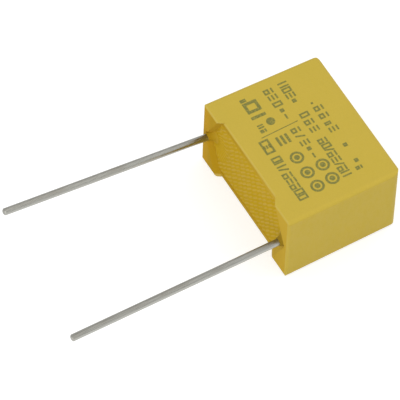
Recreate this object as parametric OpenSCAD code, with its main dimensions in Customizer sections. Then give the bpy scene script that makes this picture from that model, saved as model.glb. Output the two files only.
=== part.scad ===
// Box film capacitor with two radial wire leads, lying on one large face.
// Millimetres. X runs along the row of leads, +Y points away from the leads, +Z is up.
// The origin is the centre of the face that the case lies on.

/* [Case] */
// Length of the case along the row of leads, at the lead side
body_l = 18; // [17.8:0.1:24]
// Thickness of the case at the lead side
body_w = 10; // [9.6:0.1:14]
// Height of the case from its feet to its closed end
body_h = 14.1; // [13.2:0.1:20]
// Thickness of the side walls
wall = 0.8; // [0.6:0.05:0.85]
// Thickness of the closed end
end_wall = 1; // [0.7:0.05:1.3]
// Mould draft of each end wall, over the whole height
draft_l = 0.2; // [0:0.02:0.24]
// Mould draft of the upper face, over the whole height
draft_w = 0.2; // [0:0.02:0.3]

/* [Edges] */
// Radius of the four edges that run along the height
side_r = 0.45; // [0.2:0.05:0.6]
// Radius of the two short edges of the closed end
corner_r = 1; // [0.5:0.05:1.2]
// Radius of the two long edges of the closed end
end_r = 0.45; // [0.2:0.05:0.7]
// Radius of the outer edges of the feet
lip_r = 0.3; // [0.1:0.05:0.4]

/* [Feet] */
// Height of the feet above the rim of the long walls
foot_h = 0.6; // [0.4:0.05:0.8]
// Reach of each foot along its long wall
foot_reach = 2.9; // [2.2:0.1:3.4]
// Width of the ledge that joins the two feet of an end
foot_ledge = 0.6; // [0.4:0.05:0.7]
// Run of the slope down from the left feet
slope_left = 0.4; // [0.3:0.05:1.1]
// Run of the slope down from the right feet
slope_right = 0.95; // [0.3:0.05:1.1]
// Depth of the corner gusset under each foot, from the rim
gusset_h = 1; // [0.6:0.1:1.3]
// Clearance of the feet and gussets round each lead
lead_gap = 0.25; // [0.1:0.05:0.3]

/* [Resin] */
// Depth of the resin surface below the rim
resin_drop = 0.08; // [0.04:0.02:0.2]
// Height and reach of the resin that creeps up each lead
creep = 0.9; // [0.4:0.1:1.1]
// Thickness of the creeping resin where it ends
creep_skin = 0.1; // [0.1:0.01:0.14]

/* [Winding] */
// Resin between the winding and each long wall
roll_side_gap = 0.6; // [0.3:0.05:1]
// Resin between the winding and the closed end
roll_end_gap = 0.35; // [0.2:0.05:0.8]
// Resin between the winding and the resin surface
roll_cover = 1.7; // [1.4:0.1:2.5]
// Thickness of the sprayed metal on each end of the winding
spray_t = 0.5; // [0.3:0.05:0.8]
// Bare edge of film round the sprayed metal
spray_inset = 0.15; // [0.05:0.05:0.4]

/* [Leads] */
// Distance from each end of the case to the nominal place of its lead
lead_in = 1.5; // [1.4:0.05:2.5]
// Diameter of the wire
lead_d = 0.8; // [0.6:0.05:0.8]
// Length of wire below the feet
lead_l = 25.4; // [5:0.2:30]
// Length of wire laid along the sprayed metal
weld_l = 7; // [4:0.5:8]
// Thickness of the flattened root, which lies flat on the sprayed metal
root_t = 0.6; // [0.5:0.02:0.6]
// Width of the flattened root
root_w = 0.7; // [0.6:0.02:0.7]
// Distance outside the feet at which the root starts
root_out = 0.1; // [0.05:0.01:0.15]
// Distance by which the left lead stands outside its nominal place
left_out = 0.2; // [0:0.05:0.2]
// Angle by which the left lead leans towards the upper face
left_lean = 7.6; // [0:0.2:10]
// Depth below the rim at which the left lead crosses mid-thickness
left_cross = 3; // [1:0.2:5]
// Bevel left by the cutter on the tips of the wires
tip_bevel = 0.12; // [0.05:0.01:0.2]

/* [Hidden] */
$fn = 64;
over = 1;                                   // overshoot of a cutting tool

case_colour = "#c8b446";
resin_colour = "#b8982a";
film_colour = "#d8d4c4";
spray_colour = "#8f9296";
wire_colour = "#a6a69c";

// Case
half_l = body_l / 2;
mid_z = body_w / 2;
lean_l = atan(draft_l / body_h);            // lean of the end walls
lean_w = atan(draft_w / body_h);            // lean of the upper face
cavity_y = body_h - end_wall;               // floor of the cavity
gusset_y = foot_h + gusset_h;               // underside of the gussets
resin_y = foot_h + resin_drop;              // level of the resin surface

// Leads
lead_r = lead_d / 2;
right_x = half_l - lead_in;
left_x = -(right_x + left_out);
cross_y = foot_h + left_cross;              // where the left lead crosses mid-thickness

// Winding, held between the two leads
spray_right_x = right_x - root_t / 2;
spray_left_x = left_x + root_t / 2;
film_left_x = spray_left_x + spray_t;
film_right_x = spray_right_x - spray_t;
roll_y0 = resin_y + roll_cover;
roll_y1 = cavity_y - roll_end_gap;
roll_z0 = wall + roll_side_gap;
roll_z1 = body_w - draft_w - wall - roll_side_gap;
weld_y = roll_y0 + weld_l;                  // inner end of both leads

// ---------- shared shapes; in these y = 0 is the plane of the feet ----------

// Moves a drawing from the plane of the feet to the origin of the part.
module placed() {
    translate([0, -body_h / 2, 0]) children();
}

// Outline from y0 to y1 with a leaning left side that meets y = 0 at x0, and a square right
// side at x_far. The left corners have the radii r0 and r1.
module one_sided_outline(x0, lean, y0, y1, r0, r1, x_far) {
    c0 = [x0 + (y0 + r0) * tan(lean) + r0 / cos(lean), y0 + r0];
    c1 = [x0 + (y1 - r1) * tan(lean) + r1 / cos(lean), y1 - r1];
    out = [-cos(lean), sin(lean)];
    polygon([[c0.x, y0], [x_far, y0], [x_far, y1], [c1.x, y1], c1 + r1 * out, c0 + r0 * out]);
    if (r0 > 0) translate(c0) circle(r0);
    if (r1 > 0) translate(c1) circle(r1);
}

// Outline between a left side at xa and a right side at xb, which lean towards each other.
module leaning_outline(xa, xb, lean_a, lean_b, y0, y1, r0, r1) {
    intersection() {
        one_sided_outline(xa, lean_a, y0, y1, r0, r1, xb + over);
        mirror([1, 0]) one_sided_outline(-xb, lean_b, y0, y1, r0, r1, -xa + over);
    }
}

// Space between the two end walls, drawn inset from their outer faces.
module between_ends(inset, y0, y1, r0, r1) {
    x = half_l - inset / cos(lean_l);
    translate([0, 0, -over])
        linear_extrude(body_w + 2 * over)
            leaning_outline(-x, x, lean_l, lean_l, y0, y1, r0, r1);
}

// Space between the lower and the upper face, drawn inset from them.
module between_faces(inset, y0, y1, r0, r1) {
    z1 = body_w - inset / cos(lean_w);
    rotate([0, -90, 0])
        translate([0, 0, -half_l - over])
            linear_extrude(body_l + 2 * over)
                leaning_outline(inset, z1, 0, lean_w, y0, y1, r0, r1);
}

// Rounds one of the four edges that run along the height: side is -1 or 1.
module side_edge_tool(side, upper) {
    lean_z = upper ? lean_w : 0;
    x = side * (half_l - side_r / cos(lean_l));
    z = upper ? body_w - side_r / cos(lean_w) : side_r;
    tilt = -atan(tan(lean_z) * cos(lean_l));
    translate([x, 0, z])
        rotate([tilt, 0, side * lean_l])
            rotate([90, 0, 0])
                translate([0, 0, -body_h - over])
                    linear_extrude(body_h + 2 * over)
                        difference() {
                            mirror([side < 0 ? 1 : 0, 0])
                                mirror([0, upper ? 0 : 1])
                                    square(side_r + over);
                            circle(side_r);
                        }
}

// Half space that holds one foot. Its face starts at reach from the end of the long wall,
// turns towards the ledge at mid-thickness, and slopes by run over the height of the foot.
module foot_space(side, upper, reach, run) {
    turn = atan((foot_reach - foot_ledge) / mid_z);
    slope = atan(run * cos(turn) / foot_h);
    size = 3 * (body_l + body_h);
    translate([side * (half_l - reach), 0, upper ? body_w : 0])
        rotate([0, (upper ? -1 : 1) * side * turn, 0])
            rotate([0, 0, side * slope])
                translate([side > 0 ? 0 : -size, -size / 2, -size / 2])
                    cube(size);
}

module right_slopes(down) {
    run = down ? 0 : slope_right;
    for (upper = [false, true])
        foot_space(1, upper, foot_reach + (down ? slope_right : 0), run);
}

module left_slopes(down) {
    run = down ? 0 : slope_left;
    for (upper = [false, true])
        foot_space(-1, upper, foot_reach + (down ? slope_left : 0), run);
}

// Straight wire or hole along Y, from y0 to y1.
module along_y(r, y0, y1) {
    translate([0, y1, 0]) rotate([90, 0, 0]) cylinder(r = r, h = y1 - y0);
}

// Places a drawing on a lead, with y along the wire and y = 0 near the plane of the feet.
module on_left_wire() {
    translate([left_x, cross_y, mid_z])
        rotate([-left_lean, 0, 0])
            translate([0, -cross_y, 0])
                children();
}

module on_right_wire() {
    translate([right_x, 0, mid_z]) children();
}

// ---------- case ----------

module case_block() {
    difference() {
        intersection() {
            between_ends(0, 0, body_h, lip_r, corner_r);
            between_faces(0, 0, body_h, lip_r, end_r);
        }
        for (side = [-1, 1], upper = [false, true]) side_edge_tool(side, upper);
        // down to the rim between the feet
        difference() {
            translate([-half_l - over, -over, -over])
                cube([body_l + 2 * over, foot_h + over, body_w + 2 * over]);
            left_slopes(false);
            right_slopes(false);
        }
        for (z = [0, body_w]) rim_edge_tool(z);
    }
}

// Rounds the outer edge of the rim on one long wall, between the feet.
module rim_edge_tool(z) {
    x0 = -half_l + foot_reach + slope_left;
    x1 = half_l - foot_reach - slope_right;
    inward = z > 0 ? -1 : 1;
    translate([x0, foot_h, z])
        mirror([0, 0, z > 0 ? 1 : 0])
            rotate([90, 0, 90])
                linear_extrude(x1 - x0)
                    difference() {
                        translate([-over, -over]) square(over + lip_r);
                        translate([lip_r, lip_r]) circle(lip_r);
                    }
}

module cavity() {
    intersection() {
        between_ends(wall, -over, cavity_y, 0, 0);
        between_faces(wall, -over, cavity_y, 0, 0);
    }
}

// The webs under the feet, cut clear of the leads.
module gussets() {
    difference() {
        intersection() {
            translate([-half_l, -over, 0]) cube([body_l, gusset_y + over, body_w]);
            union() {
                left_slopes(true);
                right_slopes(true);
            }
        }
        lead_clearance();
    }
}

module lead_clearance() {
    on_left_wire() along_y(lead_r + lead_gap, -over, gusset_y + over);
    on_right_wire() along_y(lead_r + lead_gap, -over, gusset_y + over);
}

module case_shell() {
    difference() {
        case_block();
        difference() {
            cavity();
            gussets();
        }
    }
}

module case() {
    color(case_colour) placed() case_shell();
}

// ---------- leads ----------

// One straight piece of wire: round outside, flattened inside up to its welded end.
module wire() {
    rotate([-90, 0, 0])
        rotate_extrude()
            polygon([[0, -lead_l], [lead_r - tip_bevel, -lead_l], [lead_r, tip_bevel - lead_l],
                     [lead_r, -root_out], [0, -root_out]]);
    translate([-root_t / 2, -root_out, -root_w / 2])
        cube([root_t, weld_y + root_out, root_w]);
}

module left_wire() {
    on_left_wire() wire();
}

module right_wire() {
    on_right_wire() wire();
}

module lead_left() {
    color(wire_colour) placed() left_wire();
}

module lead_right() {
    color(wire_colour) placed() right_wire();
}

// ---------- winding ----------

// Flattened round outline of the winding, in the plane across its axis.
module roll_outline(inset) {
    r = (roll_z1 - roll_z0) / 2;
    z = (roll_z1 + roll_z0) / 2;
    for (y = [roll_y0 + r, roll_y1 - r]) translate([z, y]) circle(r - inset);
    translate([roll_z0 + inset, roll_y0 + r])
        square([2 * (r - inset), roll_y1 - roll_y0 - 2 * r]);
}

module roll_slab(x0, x1, inset) {
    translate([x1, 0, 0])
        rotate([0, -90, 0])
            linear_extrude(x1 - x0) roll_outline(inset);
}

module roll() {
    roll_slab(film_left_x, film_right_x, 0);
}

module left_spray() {
    roll_slab(spray_left_x, film_left_x, spray_inset);
}

module right_spray() {
    roll_slab(film_right_x, spray_right_x, spray_inset);
}

module film_winding() {
    color(film_colour) placed() roll();
}

module end_spray_left() {
    color(spray_colour) placed() left_spray();
}

module end_spray_right() {
    color(spray_colour) placed() right_spray();
}

// ---------- potting resin ----------

// Hollow-sided cone of resin round a lead that stands at x and z, from below the surface.
module resin_creep(x, z) {
    base_r = lead_r + creep_skin + creep;
    translate([x, resin_y, z])
        rotate([90, 0, 0])
            rotate_extrude()
                difference() {
                    translate([0, -resin_drop]) square([base_r, creep + resin_drop]);
                    translate([base_r, creep]) circle(creep);
                    translate([base_r, creep]) square(over);
                }
}

// Space inside the middle of the walls, from y0 to the middle of the closed end.
module within_walls(y0) {
    intersection() {
        between_ends(wall / 2, y0, cavity_y + end_wall / 2, 0, 0);
        between_faces(wall / 2, y0, cavity_y + end_wall / 2, 0, 0);
    }
}

module resin_fill() {
    left_creep_z = mid_z + (cross_y - resin_y + creep / 2) * tan(left_lean);
    difference() {
        union() {
            within_walls(resin_y);
            intersection() {
                within_walls(-over);
                union() {
                    resin_creep(right_x, mid_z);
                    resin_creep(left_x, left_creep_z);
                }
            }
        }
        case_shell();
        roll();
        left_spray();
        right_spray();
        left_wire();
        right_wire();
    }
}

module potting_resin() {
    color(resin_colour) placed() resin_fill();
}

case();
potting_resin();
film_winding();
end_spray_left();
end_spray_right();
lead_left();
lead_right();
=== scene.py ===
import math

import bmesh
import bpy
import numpy as np
from mathutils import Matrix, Vector


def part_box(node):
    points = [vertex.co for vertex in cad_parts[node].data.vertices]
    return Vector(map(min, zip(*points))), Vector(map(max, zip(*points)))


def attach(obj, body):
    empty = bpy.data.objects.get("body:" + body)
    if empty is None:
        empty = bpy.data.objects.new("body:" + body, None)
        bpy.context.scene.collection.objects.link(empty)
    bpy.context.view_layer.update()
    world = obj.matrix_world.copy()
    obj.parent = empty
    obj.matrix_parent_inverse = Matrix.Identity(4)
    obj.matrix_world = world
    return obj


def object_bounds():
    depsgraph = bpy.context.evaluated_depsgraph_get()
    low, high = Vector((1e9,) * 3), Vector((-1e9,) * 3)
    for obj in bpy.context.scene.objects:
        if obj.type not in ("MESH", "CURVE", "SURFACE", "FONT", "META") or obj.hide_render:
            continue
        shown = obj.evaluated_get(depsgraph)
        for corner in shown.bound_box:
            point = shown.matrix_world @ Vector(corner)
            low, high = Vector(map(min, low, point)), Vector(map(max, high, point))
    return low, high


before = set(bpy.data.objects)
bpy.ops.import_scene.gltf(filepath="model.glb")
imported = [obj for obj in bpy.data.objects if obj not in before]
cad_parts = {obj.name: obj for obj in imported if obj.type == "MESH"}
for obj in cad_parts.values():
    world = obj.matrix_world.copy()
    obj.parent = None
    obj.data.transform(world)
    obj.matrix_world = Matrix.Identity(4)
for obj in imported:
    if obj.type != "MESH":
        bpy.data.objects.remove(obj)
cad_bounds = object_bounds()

MM = 0.001

# Relief that the potting resin took from a woven release sheet
WEAVE_STEP = (0.94, 0.97)       # from one ridge to the next along a thread
WEAVE_SHIFT = (0.127, -0.563)   # from one thread to the next
RIDGE_LENGTH = 1.25
RIDGE_WIDTH = 0.22
RIDGE_HEIGHT = 0.09
RIDGE_TURN = 52                 # degrees from the row of leads
RIDGE_FOOT = 0.035              # height above the solid resin at which the painted highlight on a ridge begins
RELIEF_GRID = 0.055             # spacing of the relief's mesh
RELIEF_LIFT = 0.012             # the relief's ground above the solid resin
RELIEF_SKIRT = 0.05             # depth of its edge below the solid resin
RELIEF_TUCK = 0.03              # how far it runs into the walls
RELIEF_MARGIN = 0.35            # it flattens over this width towards its edge
EDGE_SHARE = 0.15               # what is left of its height at the edge
SMOOTH_LEFT = 2.6               # bare resin round the left lead
SMOOTH_RIGHT = 0.9              # bare resin round the right lead
SMOOTH_FADE = 1.2               # width over which the ridges begin again
CREASES = 30                    # creases round each lead
CREASE_HEIGHT = 0.045
CREASE_START = 0.9              # from the middle of the wire
CREASE_EASE = 0.5               # length over which a crease gains its height
RIPPLE_HEIGHT = 0.006           # ripples round the bare resin
RIPPLE_WIDTH = 0.9
RIPPLE_RATE = 7.0               # radians per millimetre
SWELL_HEIGHT = 0.008            # slow swell of the ground

# Staining by the resin on the case, partly painted shade: the side with the leads is painted darker
# and more orange
MOUTH_DEPTH = 1.65              # how far it reaches, from the plane of the feet
MOUTH_WALL = 0.32               # skin of the case that stays clean
HEM_HIGHLIGHT_HEIGHT = 0.3                # height of the painted highlight along the lower edge of the mouth
SLOPE_SPAN = (0.9, 1.8)         # from the left end of the case: there the thickest staining and darkest painted shade begin
THIN_SPAN = (-5, 8)             # in x: over this length it thins out to the right

# Print on the upper face
INK_THICK = 0.012
STROKE = 0.2
MARK_HEIGHT = 1.1
MARK_WIDTH = 0.62               # of its height
BAR_CORNER = 0.05               # radius of the corners of a bar
CORNER_POINTS = 4
CIRCLE_SIDES = 40
RING_RADIUS = 0.78
RING_STROKE = 1.3 * STROKE
DISC_RADIUS = 0.32              # inside a ring

# Colours, as linear red, green and blue
CASE_YELLOWS = ((0.555, 0.412, 0.044), (0.595, 0.430, 0.052))
CASE_GRAIN = (0.51, 0.375, 0.042)
CASE_DUST = (0.20, 0.14, 0.03)
# painted highlights along the lower edge of the mouth and on the roundings of its rims
CASE_HEM_HIGHLIGHT = (0.66, 0.48, 0.12)
CASE_RIM_HIGHLIGHT = (0.66, 0.50, 0.15)
# resin staining and painted shade of the side with the leads, darker and more orange than the case
STAINS_AND_SHADE = ((0.54, 0.305, 0.008), (0.60, 0.345, 0.014))
THICK_STAIN_AND_SHADE = (0.495, 0.300, 0.006)
THIN_STAIN_AND_SHADE = (0.60, 0.39, 0.028)
RESIN_AMBERS = ((0.525, 0.330, 0.007), (0.600, 0.385, 0.012))
RESIN_GRAIN = (0.48, 0.295, 0.007)
# painted highlight on the tops of the ridges
RESIN_RIDGE_HIGHLIGHT = (0.62, 0.42, 0.062)
RESIN_PIT = (0.30, 0.19, 0.01)
ROOT_SHADOWS = ((0.42, 0.25, 0.002), (0.29, 0.195, 0.012))   # painted shadows round the left and the right lead
ROOT_SHADOW_REACHES = (1.7, 1.15)                                  # their radii in millimetres
ROOT_SHADOW_CORE = 0.4                                             # radius within which they are full
TINS = ((0.25, 0.248, 0.222), (0.32, 0.316, 0.288))
TIN_DULL = (0.235, 0.215, 0.18)
# painted highlight along one side of the wire
TIN_PAINTED_SHEEN = (0.46, 0.46, 0.425)
PAINTED_SHEEN_SIDE = (0.86, 0, -0.51)                              # the way the painted highlight along a wire faces
FILMS = ((0.56, 0.54, 0.46), (0.74, 0.72, 0.65))
ZINCS = ((0.16, 0.165, 0.18), (0.42, 0.43, 0.45))
INKS = ((0.180, 0.178, 0.036), (0.42, 0.34, 0.050))

# Camera
LENS = 450.0
SENSOR_WIDTH = 36.0
AZIMUTH, ELEVATION, ROLL = 58.0, 55.44, 2.47
DISTANCE = 535.0
AIM_OFFSET = (-1.23, 0.87, 0.0) # from the middle of the part's box
SIGHT = 10000.0                 # nothing further away is drawn

# Floor, world and lamps
FLOOR_SIZE = 3000.0
FLOOR_GAP = 0.01                # keeps the floor from lying in the plane of the underside
FLOOR_WHITE = 0.62
FLOOR_GLOW = 0.56               # makes the floor white for the eye
AMBIENT = 0.76                  # light from all around
LAMP_DISTANCE = 700
LAMP_SIZE = 900

case_lo, case_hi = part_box("case")
part_lo, part_hi = cad_bounds
middle = (part_lo + part_hi) / 2


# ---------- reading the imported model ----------

def flat_face(node, normal):
    """The largest flat area of a CAD node that faces along normal: its level and its corners."""
    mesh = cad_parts[node].data
    normal = Vector(normal)
    areas, points = {}, {}
    for face in mesh.polygons:
        if face.normal.dot(normal) > 0.999:
            level = round(face.center.dot(normal) / MM, 2)
            areas[level] = areas.get(level, 0) + face.area
            points.setdefault(level, []).extend(mesh.vertices[i].co for i in face.vertices)
    level = max(areas, key=areas.get)
    corners = np.array(points[level])
    return level * MM, Vector(corners.min(0)), Vector(corners.max(0))


def upper_face_height():
    """Height of the drafted upper face of the case as a function of y."""
    face = max((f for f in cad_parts["case"].data.polygons
                if f.normal.z > 0.999 and f.center.z > 0.9 * case_hi.z), key=lambda f: f.area)
    slope = -face.normal.y / face.normal.z
    start = face.center.z - slope * face.center.y
    return lambda y: start + slope * y


def lead_root(node):
    """Where a lead leaves the case, in the plane of the feet: x and z in metres."""
    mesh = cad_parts[node].data
    near = [v.co for v in mesh.vertices if abs(v.co.y - case_lo.y) < 0.3 * MM]
    return (sum(p.x for p in near) / len(near), sum(p.z for p in near) / len(near))


# ---------- materials ----------

class Look:
    """A material whose node tree is built by short calls. Lengths are in millimetres."""

    def __init__(self, name):
        self.material = bpy.data.materials.new(name)
        self.material.use_nodes = True
        self.nodes = self.material.node_tree.nodes
        self.links = self.material.node_tree.links
        self.shader = self.nodes["Principled BSDF"]
        where = self.nodes.new("ShaderNodeTexCoord").outputs["Object"]
        self.place = self.vector("SCALE", where, scale=1 / MM)

    def feed(self, socket, value):
        if isinstance(value, bpy.types.NodeSocket):
            self.links.new(value, socket)
        elif value is not None:
            socket.default_value = value

    def vector(self, operation, a, b=None, scale=None):
        node = self.nodes.new("ShaderNodeVectorMath")
        node.operation = operation
        self.feed(node.inputs[0], a)
        self.feed(node.inputs[1], b)
        if scale is not None:
            node.inputs["Scale"].default_value = scale
        return node.outputs["Value" if operation in ("DOT_PRODUCT", "LENGTH") else "Vector"]

    def math(self, operation, a, b):
        node = self.nodes.new("ShaderNodeMath")
        node.operation = operation
        self.feed(node.inputs[0], a)
        self.feed(node.inputs[1], b)
        return node.outputs[0]

    def along(self, axis):
        """Coordinate along axis 0, 1 or 2."""
        node = self.nodes.new("ShaderNodeSeparateXYZ")
        self.feed(node.inputs[0], self.place)
        return node.outputs[axis]

    def stretched(self, x, y, z):
        """The place, scaled along each axis: a noise fed with it runs long where this is small."""
        return self.vector("MULTIPLY", self.place, (x, y, z))

    def noise(self, size, detail=3.0, rough=0.55, where=None):
        """Cloudy noise from 0 to 1 whose lumps are about size across."""
        node = self.nodes.new("ShaderNodeTexNoise")
        self.feed(node.inputs["Vector"], where or self.place)
        node.inputs["Scale"].default_value = 1 / size
        node.inputs["Detail"].default_value = detail
        node.inputs["Roughness"].default_value = rough
        return node.outputs["Fac"]

    def specks(self, spacing, radius):
        """1 inside sparse round specks, 0 elsewhere."""
        node = self.nodes.new("ShaderNodeTexVoronoi")
        self.feed(node.inputs["Vector"], self.place)
        node.inputs["Scale"].default_value = 1 / spacing
        return self.ramp(node.outputs["Distance"], radius / spacing, 0.5 * radius / spacing)

    def ramp(self, value, low, high, to_low=0.0, to_high=1.0):
        """Smooth step from to_low at low to to_high at high."""
        node = self.nodes.new("ShaderNodeMapRange")
        node.interpolation_type = "SMOOTHSTEP"
        for name, item in (("Value", value), ("From Min", low), ("From Max", high),
                           ("To Min", to_low), ("To Max", to_high)):
            self.feed(node.inputs[name], item)
        return node.outputs["Result"]

    def blend(self, amount, a, b):
        """Colour a where amount is 0, b where it is 1."""
        node = self.nodes.new("ShaderNodeMix")
        node.data_type = "RGBA"
        self.feed(node.inputs["Factor"], amount)
        self.feed(node.inputs["A"], a if isinstance(a, bpy.types.NodeSocket) else (*a, 1))
        self.feed(node.inputs["B"], b if isinstance(b, bpy.types.NodeSocket) else (*b, 1))
        return node.outputs["Result"]

    def facing(self, direction):
        """How far the surface faces along direction, from -1 to 1."""
        normal = self.nodes.new("ShaderNodeNewGeometry").outputs["Normal"]
        return self.vector("DOT_PRODUCT", normal, direction)

    def near(self, x, z):
        """Distance in millimetres from a line along Y that passes through x and z in metres."""
        offset = self.vector("SUBTRACT", self.place, (x / MM, 0, z / MM))
        return self.vector("LENGTH", self.vector("MULTIPLY", offset, (1, 0, 1)))

    def within(self, low, high, soft):
        """1 inside the box between two corners in metres, fading out over soft millimetres."""
        low, high = Vector(low) / MM, Vector(high) / MM
        offset = self.vector("ABSOLUTE", self.vector("SUBTRACT", self.place, (low + high) / 2))
        node = self.nodes.new("ShaderNodeSeparateXYZ")
        self.feed(node.inputs[0], self.vector("SUBTRACT", offset, (high - low) / 2))
        outside = self.math("MAXIMUM", node.outputs[0], node.outputs[1])
        return self.ramp(self.math("MAXIMUM", outside, node.outputs[2]), soft, 0)

    def bump(self, height, depth, under=None):
        """Bump of the given depth in millimetres."""
        node = self.nodes.new("ShaderNodeBump")
        node.inputs["Distance"].default_value = depth * MM
        self.feed(node.inputs["Height"], height)
        self.feed(node.inputs["Normal"], under)
        return node.outputs["Normal"]

    def finish(self, color, roughness, normal, **constants):
        """The material. Constants name inputs of the shader, with _ for a space."""
        self.feed(self.shader.inputs["Base Color"], color)
        self.feed(self.shader.inputs["Roughness"], roughness)
        self.feed(self.shader.inputs["Normal"], normal)
        for name, value in constants.items():
            self.shader.inputs[name.replace("_", " ")].default_value = value
        return self.material


def mouth_region(look):
    """1 where the case faces the resin, 0 on its outer skin."""
    skin = Vector((MOUTH_WALL, 0, MOUTH_WALL)) * MM
    corner = Vector((case_hi.x, case_lo.y + MOUTH_DEPTH * MM, case_hi.z))
    return look.within(case_lo + skin - Vector((0, MM, 0)), corner - skin, soft=0.14)


def resin_stain_and_shade(look):
    """Resin staining on the case and painted shade of the side with the leads: thickest on the left
    slope, a little smeared over the right feet.
    """
    start, end = (case_lo.x / MM + reach for reach in SLOPE_SPAN)
    across = look.along(0)
    dark_tone = look.blend(look.noise(1.4), *STAINS_AND_SHADE)
    dark_tone = look.blend(look.ramp(across, start, end), dark_tone, THICK_STAIN_AND_SHADE)
    return look.blend(look.ramp(across, *THIN_SPAN), dark_tone, THIN_STAIN_AND_SHADE)


def painted_rim_highlights(look, color):
    """Painted highlights that make the case paler along the lower edge of the mouth and on the
    roundings of its rims.
    """
    hem_highlight = look.within(case_lo - Vector((0, MM, MM)),
                      Vector((case_hi.x, case_lo.y + MOUTH_DEPTH * MM,
                              case_lo.z + HEM_HIGHLIGHT_HEIGHT * MM)), soft=0.1)
    color = look.blend(look.math("MULTIPLY", hem_highlight, 0.5), color, CASE_HEM_HIGHLIGHT)
    upper, lower = look.facing((0, -0.75, 0.66)), look.facing((0, -0.75, -0.66))
    lip_highlight = look.ramp(look.math("MAXIMUM", upper, lower), 0.90, 0.98)
    return look.blend(look.math("MULTIPLY", lip_highlight, 0.22), color, CASE_RIM_HIGHLIGHT)


def case_plastic():
    """Satin yellow moulding, stained by resin and darkened by painted shade where it faces the leads,
    with painted highlights on the rims there.
    """
    look = Look("case_plastic")
    grain = look.noise(0.16, detail=4.0, rough=0.7)
    color = look.blend(look.noise(5.0, detail=2.0), *CASE_YELLOWS)
    color = look.blend(look.ramp(grain, 0.3, 0.7, to_high=0.35), color, CASE_GRAIN)
    mouth = mouth_region(look)
    # resin staining and painted shade where the case faces the leads
    color = look.blend(mouth, color, resin_stain_and_shade(look))
    # painted highlights on the rims of the mouth
    color = painted_rim_highlights(look, color)
    dust = look.specks(2.6, 0.07)
    color = look.blend(look.math("MULTIPLY", dust, 0.45), color, CASE_DUST)
    sink = look.bump(look.noise(4.5, detail=1.0), 0.05)
    skin = look.bump(grain, 0.006, under=sink)
    scuffs = look.noise(0.9, detail=4.0, rough=0.65, where=look.stretched(0.35, 2.2, 1.0))
    matt = look.ramp(scuffs, 0.35, 0.75, 0.52, 0.66)
    roughness = look.math("MAXIMUM", matt, look.math("MULTIPLY", mouth, 0.95))
    return look.finish(color, roughness, skin, Specular_IOR_Level=0.28)


def resin_cast(roots, level):
    """Cast epoxy: amber, with a painted highlight on the ridges and a painted shadow round the leads.
    """
    look = Look("resin_cast")
    cloud = look.noise(2.4)
    fine = look.noise(0.22, detail=4.0, rough=0.65)
    color = look.blend(cloud, *RESIN_AMBERS)
    color = look.blend(look.ramp(fine, 0.35, 0.8, to_high=0.35), color, RESIN_GRAIN)
    height = look.math("SUBTRACT", level / MM, look.along(1))
    # painted highlight: the ridges turn paler towards their tops
    ridge = look.ramp(height, RIDGE_FOOT, RIDGE_FOOT + 0.5 * RIDGE_HEIGHT)
    color = look.blend(look.math("MULTIPLY", ridge, 0.7), color, RESIN_RIDGE_HIGHLIGHT)
    # painted shadow round the root of each lead
    for (x, z), reach, dark_tone in zip(roots, ROOT_SHADOW_REACHES, ROOT_SHADOWS):
        ring = look.ramp(look.near(x, z), reach, ROOT_SHADOW_CORE)
        color = look.blend(look.math("MULTIPLY", ring, 0.85), color, dark_tone)
    pits = look.specks(1.1, 0.09)
    color = look.blend(look.math("MULTIPLY", pits, 0.5), color, RESIN_PIT)
    flow = look.bump(look.noise(1.2, detail=2.0), 0.02)
    skin = look.bump(fine, 0.006, under=flow)
    return look.finish(color, look.ramp(cloud, 0.3, 0.7, 0.6, 0.75), skin,
                       Specular_IOR_Level=0.06)


def tinned_wire():
    """Tin over drawn wire: lengthwise scratches, dull blotches, and a painted highlight that makes one
    side brighter.
    """
    look = Look("tinned_wire")
    drawn = look.noise(0.09, rough=0.6, where=look.stretched(1.0, 0.05, 1.0))
    dull = look.noise(1.1, detail=4.0, rough=0.65, where=look.stretched(1.0, 0.4, 1.0))
    color = look.blend(look.ramp(drawn, 0.3, 0.7), *TINS)
    color = look.blend(look.ramp(dull, 0.45, 0.75, to_high=0.5), color, TIN_DULL)
    # painted highlight on the side of the wire that faces one way
    run = look.ramp(look.facing(PAINTED_SHEEN_SIDE), -0.2, 0.75, to_high=0.8)
    color = look.blend(run, color, TIN_PAINTED_SHEEN)
    rough = look.ramp(look.math("MULTIPLY", drawn, dull), 0.15, 0.4, 0.22, 0.38)
    return look.finish(color, rough, look.bump(drawn, 0.004), Metallic=1.0)


def wound_film():
    """Metallised film on edge: fine turns, a milky sheen."""
    look = Look("wound_film")
    turns = look.noise(0.05, detail=2.0, rough=0.5, where=look.stretched(0.02, 1.0, 1.0))
    color = look.blend(turns, *FILMS)
    return look.finish(color, look.ramp(turns, 0.3, 0.7, 0.22, 0.38), look.bump(turns, 0.01),
                       Metallic=0.35)


def sprayed_zinc():
    """Zinc sprayed on the ends of the winding: coarse, porous, grey."""
    look = Look("sprayed_zinc")
    grains = look.noise(0.12, detail=5.0, rough=0.75)
    color = look.blend(look.ramp(grains, 0.3, 0.7), *ZINCS)
    return look.finish(color, look.ramp(grains, 0.3, 0.7, 0.85, 0.55), look.bump(grains, 0.06),
                       Metallic=0.8)


def printing_ink():
    """Dark olive ink, thin enough in places for the plastic to show through."""
    look = Look("printing_ink")
    thin = look.ramp(look.noise(0.18, rough=0.7), 0.42, 0.72, to_high=0.7)
    color = look.blend(thin, *INKS)
    return look.finish(color, 0.6, look.bump(look.noise(0.1), 0.003), Specular_IOR_Level=0.35)


def dress(node, material):
    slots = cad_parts[node].data.materials
    slots.clear()
    slots.append(material)


# ---------- pieces of the object ----------

def add_piece(name, mesh, material, smooth=False):
    mesh.materials.append(material)
    if smooth:
        mesh.shade_smooth()
    piece = bpy.data.objects.new(name, mesh)
    bpy.context.scene.collection.objects.link(piece)
    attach(piece, "root")
    return piece


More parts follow.
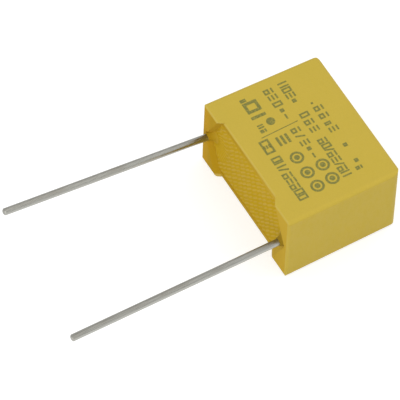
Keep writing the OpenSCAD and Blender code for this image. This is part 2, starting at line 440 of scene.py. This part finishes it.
def weave_height(x, z):
    """Height of the woven relief over the resin at x and z, in millimetres."""
    step, shift = np.array(WEAVE_STEP), np.array(WEAVE_SHIFT)
    basis = np.linalg.inv(np.stack([step, shift], 1))
    place = np.stack([x, z], -1)
    cell = place @ basis.T
    # slow wander of the threads, in steps, so that no two ridges are quite alike
    cell[..., 0] += 0.08 * np.sin(0.9 * x + 1.7 * z) + 0.05 * np.sin(2.3 * x - 0.8 * z)
    cell[..., 1] += 0.06 * np.sin(1.3 * z - 0.7 * x)
    turn = math.radians(RIDGE_TURN)
    along = np.array([math.cos(turn), math.sin(turn)])
    across = np.array([-along[1], along[0]])
    height = np.zeros_like(x)
    # each place takes the tallest of the nine ridges about it: blunt lengthwise, a bell across
    for i in (-1, 0, 1):
        for j in (-1, 0, 1):
            near = np.round(cell) + (i, j)
            offset = (cell - near) @ np.stack([step, shift])
            u = offset @ along / (RIDGE_LENGTH / 2)
            v = offset @ across / (RIDGE_WIDTH / 2)
            strength = 0.8 + 0.2 * np.sin(7.1 * near[..., 0] + 3.7 * near[..., 1])
            height = np.maximum(height, strength * np.exp(-0.7 * (u ** 4 + v ** 2)))
    return RIDGE_HEIGHT * height


def near_root(rise, x, z, root, bare):
    """The relief about a wire: bare resin, creases that fan out, ripples where it drew up."""
    dx, dz = x - root[0] / MM, z - root[1] / MM
    away, turn = np.hypot(dx, dz), np.arctan2(dz, dx)
    fan = (np.clip((away - CREASE_START) / CREASE_EASE, 0, 1)
           * np.clip((bare + SMOOTH_FADE - away) / SMOOTH_FADE, 0, 1))
    # the sine bends the creases a little as they run out
    creases = CREASE_HEIGHT * fan * np.cos(CREASES / 2 * turn + 0.6 * np.sin(3 * away)) ** 2
    ripples = RIPPLE_HEIGHT * np.cos(away * RIPPLE_RATE) * np.exp(-((away - bare) / RIPPLE_WIDTH) ** 2)
    return rise * np.clip((away - bare) / SMOOTH_FADE, 0, 1) + creases + ripples


def relief_height(x, z, roots):
    """Height of the whole relief over the solid resin, in millimetres."""
    rise = weave_height(x, z)
    for root, bare in zip(roots, (SMOOTH_LEFT, SMOOTH_RIGHT)):
        rise = near_root(rise, x, z, root, bare)
    edge = np.minimum.reduce([z - z.min(), z.max() - z, x - x.min(), x.max() - x])
    rise *= np.clip(edge / RELIEF_MARGIN, EDGE_SHARE, 1)
    rise += RELIEF_LIFT + SWELL_HEIGHT * (1 + np.sin(0.8 * x) * np.sin(0.9 * z + 0.5))
    return rise


def skirted_sheet(name, top, depth):
    """Closed mesh under a grid of points that faces -Y, with its edge drawn back to depth."""
    rows, columns = top.shape[:2]
    top = top.reshape(-1, 3)
    index = np.arange(rows * columns).reshape(rows, columns)
    quads = np.stack([index[:-1, :-1], index[:-1, 1:], index[1:, 1:], index[1:, :-1]], -1)
    border = np.concatenate([index[0, :], index[1:, -1], index[-1, -2::-1], index[-2:0:-1, 0]])
    skirt = top[border] * (1, 0, 1) + (0, depth, 0)
    below = len(top) + np.arange(len(border))
    sides = [(int(border[k - 1]), int(below[k - 1]), int(below[k]), int(border[k]))
             for k in range(len(border))]
    mesh = bpy.data.meshes.new(name)
    mesh.from_pydata(np.concatenate([top, skirt]).tolist(), [],
                     [*map(tuple, quads.reshape(-1, 4).tolist()), *sides,
                      tuple(below[::-1].tolist())])
    mesh.update()
    return mesh


def resin_relief(material, roots):
    """Thin skin of cast relief on the visible face of the resin."""
    level, lo, hi = flat_face("potting_resin", (0, -1, 0))
    half = max(-case_lo.x, case_hi.x)
    wall = lo.z - case_lo.z
    x0, x1 = (-half + wall) / MM - RELIEF_TUCK, (half - wall) / MM + RELIEF_TUCK
    z0, z1 = lo.z / MM - RELIEF_TUCK, hi.z / MM + RELIEF_TUCK
    x, z = np.meshgrid(np.linspace(x0, x1, round((x1 - x0) / RELIEF_GRID) + 1),
                       np.linspace(z0, z1, round((z1 - z0) / RELIEF_GRID) + 1))
    top = np.stack([x * MM, -level - relief_height(x, z, roots) * MM, z * MM], -1)
    mesh = skirted_sheet("resin_relief", top, -level + RELIEF_SKIRT * MM)
    return add_piece("resin_relief", mesh, material, smooth=True)


class Printing:
    """Flat ink shapes on the upper face, all in one mesh. Places are millimetres."""

    def __init__(self):
        self.mesh = bmesh.new()
        self.height = upper_face_height()

    def loop(self, points):
        """Vertices at the points, one thickness of ink under the face of the case."""
        return [self.mesh.verts.new((x * MM, y * MM, self.height(y * MM) - INK_THICK * MM))
                for x, y in points]

    def bar(self, x, y, width, height, tilt=0.0):
        """Rounded bar about x and y, tilted in degrees."""
        turn = math.radians(tilt)
        corner = min(BAR_CORNER, 0.4 * width, 0.4 * height)
        a, b = width / 2 - corner, height / 2 - corner
        points = []
        for quarter, (sx, sy) in enumerate(((1, 1), (-1, 1), (-1, -1), (1, -1))):
            for k in range(CORNER_POINTS):
                angle = math.radians(90 * quarter + 90 * k / (CORNER_POINTS - 1))
                px, py = sx * a + corner * math.cos(angle), sy * b + corner * math.sin(angle)
                points.append((x + px * math.cos(turn) - py * math.sin(turn),
                               y + px * math.sin(turn) + py * math.cos(turn)))
        self.mesh.faces.new(self.loop(points))

    def band(self, outside, inside):
        """Flat band between two outlines with as many points."""
        outside, inside = self.loop(outside), self.loop(inside)
        for k in range(len(outside)):
            self.mesh.faces.new((outside[k - 1], outside[k], inside[k], inside[k - 1]))

    def circle(self, x, y, radius):
        angles = [2 * math.pi * k / CIRCLE_SIDES for k in range(CIRCLE_SIDES)]
        return [(x + radius * math.cos(t), y + radius * math.sin(t)) for t in angles]

    def disc(self, x, y, radius):
        self.mesh.faces.new(self.loop(self.circle(x, y, radius)))

    def ring(self, x, y, radius, stroke):
        self.band(self.circle(x, y, radius), self.circle(x, y, radius - stroke))

    def frame(self, x, y, width, height, stroke=STROKE):
        """Hollow rectangle."""
        corners = ((1, 1), (-1, 1), (-1, -1), (1, -1))
        self.band([(x + sx * width / 2, y + sy * height / 2) for sx, sy in corners],
                  [(x + sx * (width / 2 - stroke), y + sy * (height / 2 - stroke))
                   for sx, sy in corners])

    def mark(self, kind, x, y, height=MARK_HEIGHT):
        """One plain mark in a row."""
        wide = MARK_WIDTH * height
        if kind == "rails":
            for dy in (-0.4, 0, 0.4):
                self.bar(x, y + dy * height, wide, STROKE)
        elif kind == "box":
            self.frame(x, y, wide, height)
        elif kind == "posts":
            for dx in (-0.36, 0.36):
                self.bar(x + dx * wide, y, STROKE, height)
        elif kind == "square":
            self.bar(x, y, 0.7 * wide, 0.7 * wide)
        elif kind == "half":
            self.frame(x, y - height / 4, wide, height / 2 + STROKE / 2)
            self.bar(x, y + height * 0.36, wide, STROKE)
        elif kind == "slash":
            self.bar(x, y, STROKE, height, -18)
        elif kind == "dot":
            self.bar(x, y - height / 2 + STROKE, 1.3 * STROKE, 1.3 * STROKE)
        elif kind == "dash":
            self.bar(x, y, wide, STROKE)

    def row(self, y, marks, height=MARK_HEIGHT):
        for x, kind in marks:
            self.mark(kind, x, y, height)

    def finish(self, material):
        """Lifts all shapes through the face of the case, one thickness of ink above it."""
        mesh = bpy.data.meshes.new("print_marks")
        faces = self.mesh.faces[:]
        made = bmesh.ops.extrude_face_region(self.mesh, geom=faces, use_keep_orig=True)
        lifted = [v for v in made["geom"] if isinstance(v, bmesh.types.BMVert)]
        bmesh.ops.translate(self.mesh, verts=lifted, vec=(0, 0, 2 * INK_THICK * MM))
        bmesh.ops.recalc_face_normals(self.mesh, faces=self.mesh.faces[:])
        self.mesh.to_mesh(mesh)
        self.mesh.free()
        return add_piece("print_marks", mesh, material)


def print_marks(material):
    """Rows of plain marks, rings and bars where such a case carries its print."""
    ink = Printing()
    ink.row(3.55, [(-3.5, "dot"), (-2.6, "half"), (-1.5, "half"), (0.5, "rails"),
                   (2.9, "square"), (5.2, "square")])
    ink.row(3.35, [(-0.4, "box"), (6.15, "half")], 0.75)
    ink.row(1.72, [(-7.1, "posts"), (-6.3, "box"), (-5.5, "rails"), (-4.7, "square"),
                   (-2.55, "box"), (-1.5, "half"), (-0.45, "rails"),
                   (1.3, "half"), (2.05, "box"), (2.65, "slash"), (3.3, "half"), (4.1, "rails"),
                   (4.75, "slash"), (5.4, "half"), (6.15, "posts")])
    ink.row(-0.1, [(-7.05, "half"), (-6.15, "rails"), (-5.15, "box"), (-4.2, "square"),
                   (-3.3, "dash"), (-1.25, "half"), (-0.35, "slash"), (0.6, "rails"),
                   (1.5, "square"), (2.5, "dash")])
    # a thin dividing line, and a bold frame, bar and disc
    ink.bar(-2.15, -1.6, 0.1, 4.6, 2)
    ink.frame(-6.15, -2.7, 1.5, 1.7, 0.36)
    ink.bar(-4.75, -2.7, 0.38, 1.75)
    ink.disc(-3.55, -1.9, 0.5)
    ink.row(-3.2, [(-7.25, "box"), (-3.45, "posts"), (-2.8, "half")], 0.7)
    for x, y in ((4.0, 0.1), (6.0, 0.1), (1.9, -1.85), (4.1, -1.85), (6.1, -1.8)):
        ink.ring(x, y, RING_RADIUS, RING_STROKE)
        ink.disc(x, y, DISC_RADIUS)
    # three equal bars, and a frame with bars in it
    for dy in (-0.55, 0, 0.55):
        ink.bar(-0.8, -1.95 + dy, 1.25, 1.5 * STROKE)
    ink.frame(-0.8, -3.95, 1.9, 1.15, 1.2 * STROKE)
    ink.mark("rails", -0.8, -3.95, 0.75)
    ink.row(-3.9, [(1.1, "box"), (1.85, "posts"), (2.6, "slash"), (3.45, "half"),
                   (4.25, "rails"), (5.05, "half"), (5.85, "box"), (6.6, "box")], 1.15)
    return ink.finish(material)


# ---------- floor, lamps and camera ----------

def add_floor():
    """White floor: it keeps the part's soft shadow and looks white where nothing shades it."""
    mesh = bpy.data.meshes.new("floor")
    half = FLOOR_SIZE * MM / 2
    mesh.from_pydata([(-half, -half, 0), (half, -half, 0), (half, half, 0), (-half, half, 0)],
                     [], [(0, 1, 2, 3)])
    floor = bpy.data.objects.new("floor", mesh)
    bpy.context.scene.collection.objects.link(floor)
    floor.location.z = part_lo.z - FLOOR_GAP * MM
    material = bpy.data.materials.new("white_floor")
    material.use_nodes = True
    nodes, links = material.node_tree.nodes, material.node_tree.links
    shader = nodes["Principled BSDF"]
    shader.inputs["Base Color"].default_value = (FLOOR_WHITE, FLOOR_WHITE, FLOOR_WHITE, 1)
    shader.inputs["Roughness"].default_value = 1.0
    shader.inputs["Specular IOR Level"].default_value = 0.0
    links.new(seen_by_eye_and_gloss(material.node_tree, FLOOR_GLOW),
              shader.inputs["Emission Strength"])
    shader.inputs["Emission Color"].default_value = (1, 1, 1, 1)
    mesh.materials.append(material)


def seen_by_eye_and_gloss(tree, strength):
    """strength for camera, glossy and transmission rays, 0 for the light that falls on things."""
    path = tree.nodes.new("ShaderNodeLightPath")
    total = path.outputs["Is Camera Ray"]
    for name in ("Is Glossy Ray", "Is Transmission Ray"):
        node = tree.nodes.new("ShaderNodeMath")
        node.operation = "MAXIMUM"
        tree.links.new(total, node.inputs[0])
        tree.links.new(path.outputs[name], node.inputs[1])
        total = node.outputs[0]
    node = tree.nodes.new("ShaderNodeMath")
    node.operation = "MULTIPLY"
    node.inputs[1].default_value = strength
    tree.links.new(total, node.inputs[0])
    return node.outputs[0]


def add_world():
    """Even light from all around, which looks white to the eye and in gloss."""
    world = bpy.data.worlds.new("studio")
    bpy.context.scene.world = world
    world.use_nodes = True
    tree = world.node_tree
    node = tree.nodes.new("ShaderNodeMath")
    node.operation = "ADD"
    node.inputs[1].default_value = AMBIENT
    tree.links.new(seen_by_eye_and_gloss(tree, 1.0 - AMBIENT), node.inputs[0])
    background = tree.nodes["Background"]
    background.inputs["Color"].default_value = (1, 1, 1, 1)
    tree.links.new(node.outputs[0], background.inputs["Strength"])


def add_lamp(name, direction, power):
    """Square soft box that shines on the middle of the part from a direction."""
    light = bpy.data.lights.new(name, "AREA")
    light.shape = "SQUARE"
    light.size = LAMP_SIZE * MM
    light.energy = power
    lamp = bpy.data.objects.new(name, light)
    bpy.context.scene.collection.objects.link(lamp)
    away = Vector(direction).normalized()
    lamp.location = middle + away * LAMP_DISTANCE * MM
    lamp.rotation_euler = away.to_track_quat("Z", "Y").to_euler()


def add_camera():
    """The photograph's view: a long lens from above, on the side of the leads."""
    a, e = math.radians(AZIMUTH), math.radians(ELEVATION)
    back = Vector((math.sin(a) * math.cos(e), -math.cos(a) * math.cos(e), math.sin(e)))
    camera = bpy.data.cameras.new("camera")
    camera.lens = LENS
    camera.sensor_width = SENSOR_WIDTH
    camera.clip_end = SIGHT * MM
    eye = bpy.data.objects.new("camera", camera)
    bpy.context.scene.collection.objects.link(eye)
    level = back.to_track_quat("Z", "Y").to_matrix().to_4x4()
    aim = middle + Vector(AIM_OFFSET) * MM
    eye.matrix_world = (Matrix.Translation(aim + back * DISTANCE * MM) @ level
                        @ Matrix.Rotation(math.radians(ROLL), 4, "Z"))
    bpy.context.scene.camera = eye


# ---------- making ----------

add_camera()
roots = [lead_root("lead_left"), lead_root("lead_right")]
resin_level = flat_face("potting_resin", (0, -1, 0))[1].y
resin = resin_cast(roots, resin_level)
dress("case", case_plastic())
dress("potting_resin", resin)
dress("film_winding", wound_film())
zinc, wire = sprayed_zinc(), tinned_wire()
for node in ("end_spray_left", "end_spray_right"):
    dress(node, zinc)
for node in ("lead_left", "lead_right"):
    dress(node, wire)
resin_relief(resin, roots)
print_marks(printing_ink())

add_floor()
add_world()
add_lamp("key", (0.1, 1.0, 0.95), power=1.1)
add_lamp("fill", (0.75, -1.0, 0.55), power=2.4)
bpy.context.scene.view_settings.view_transform = "Standard"
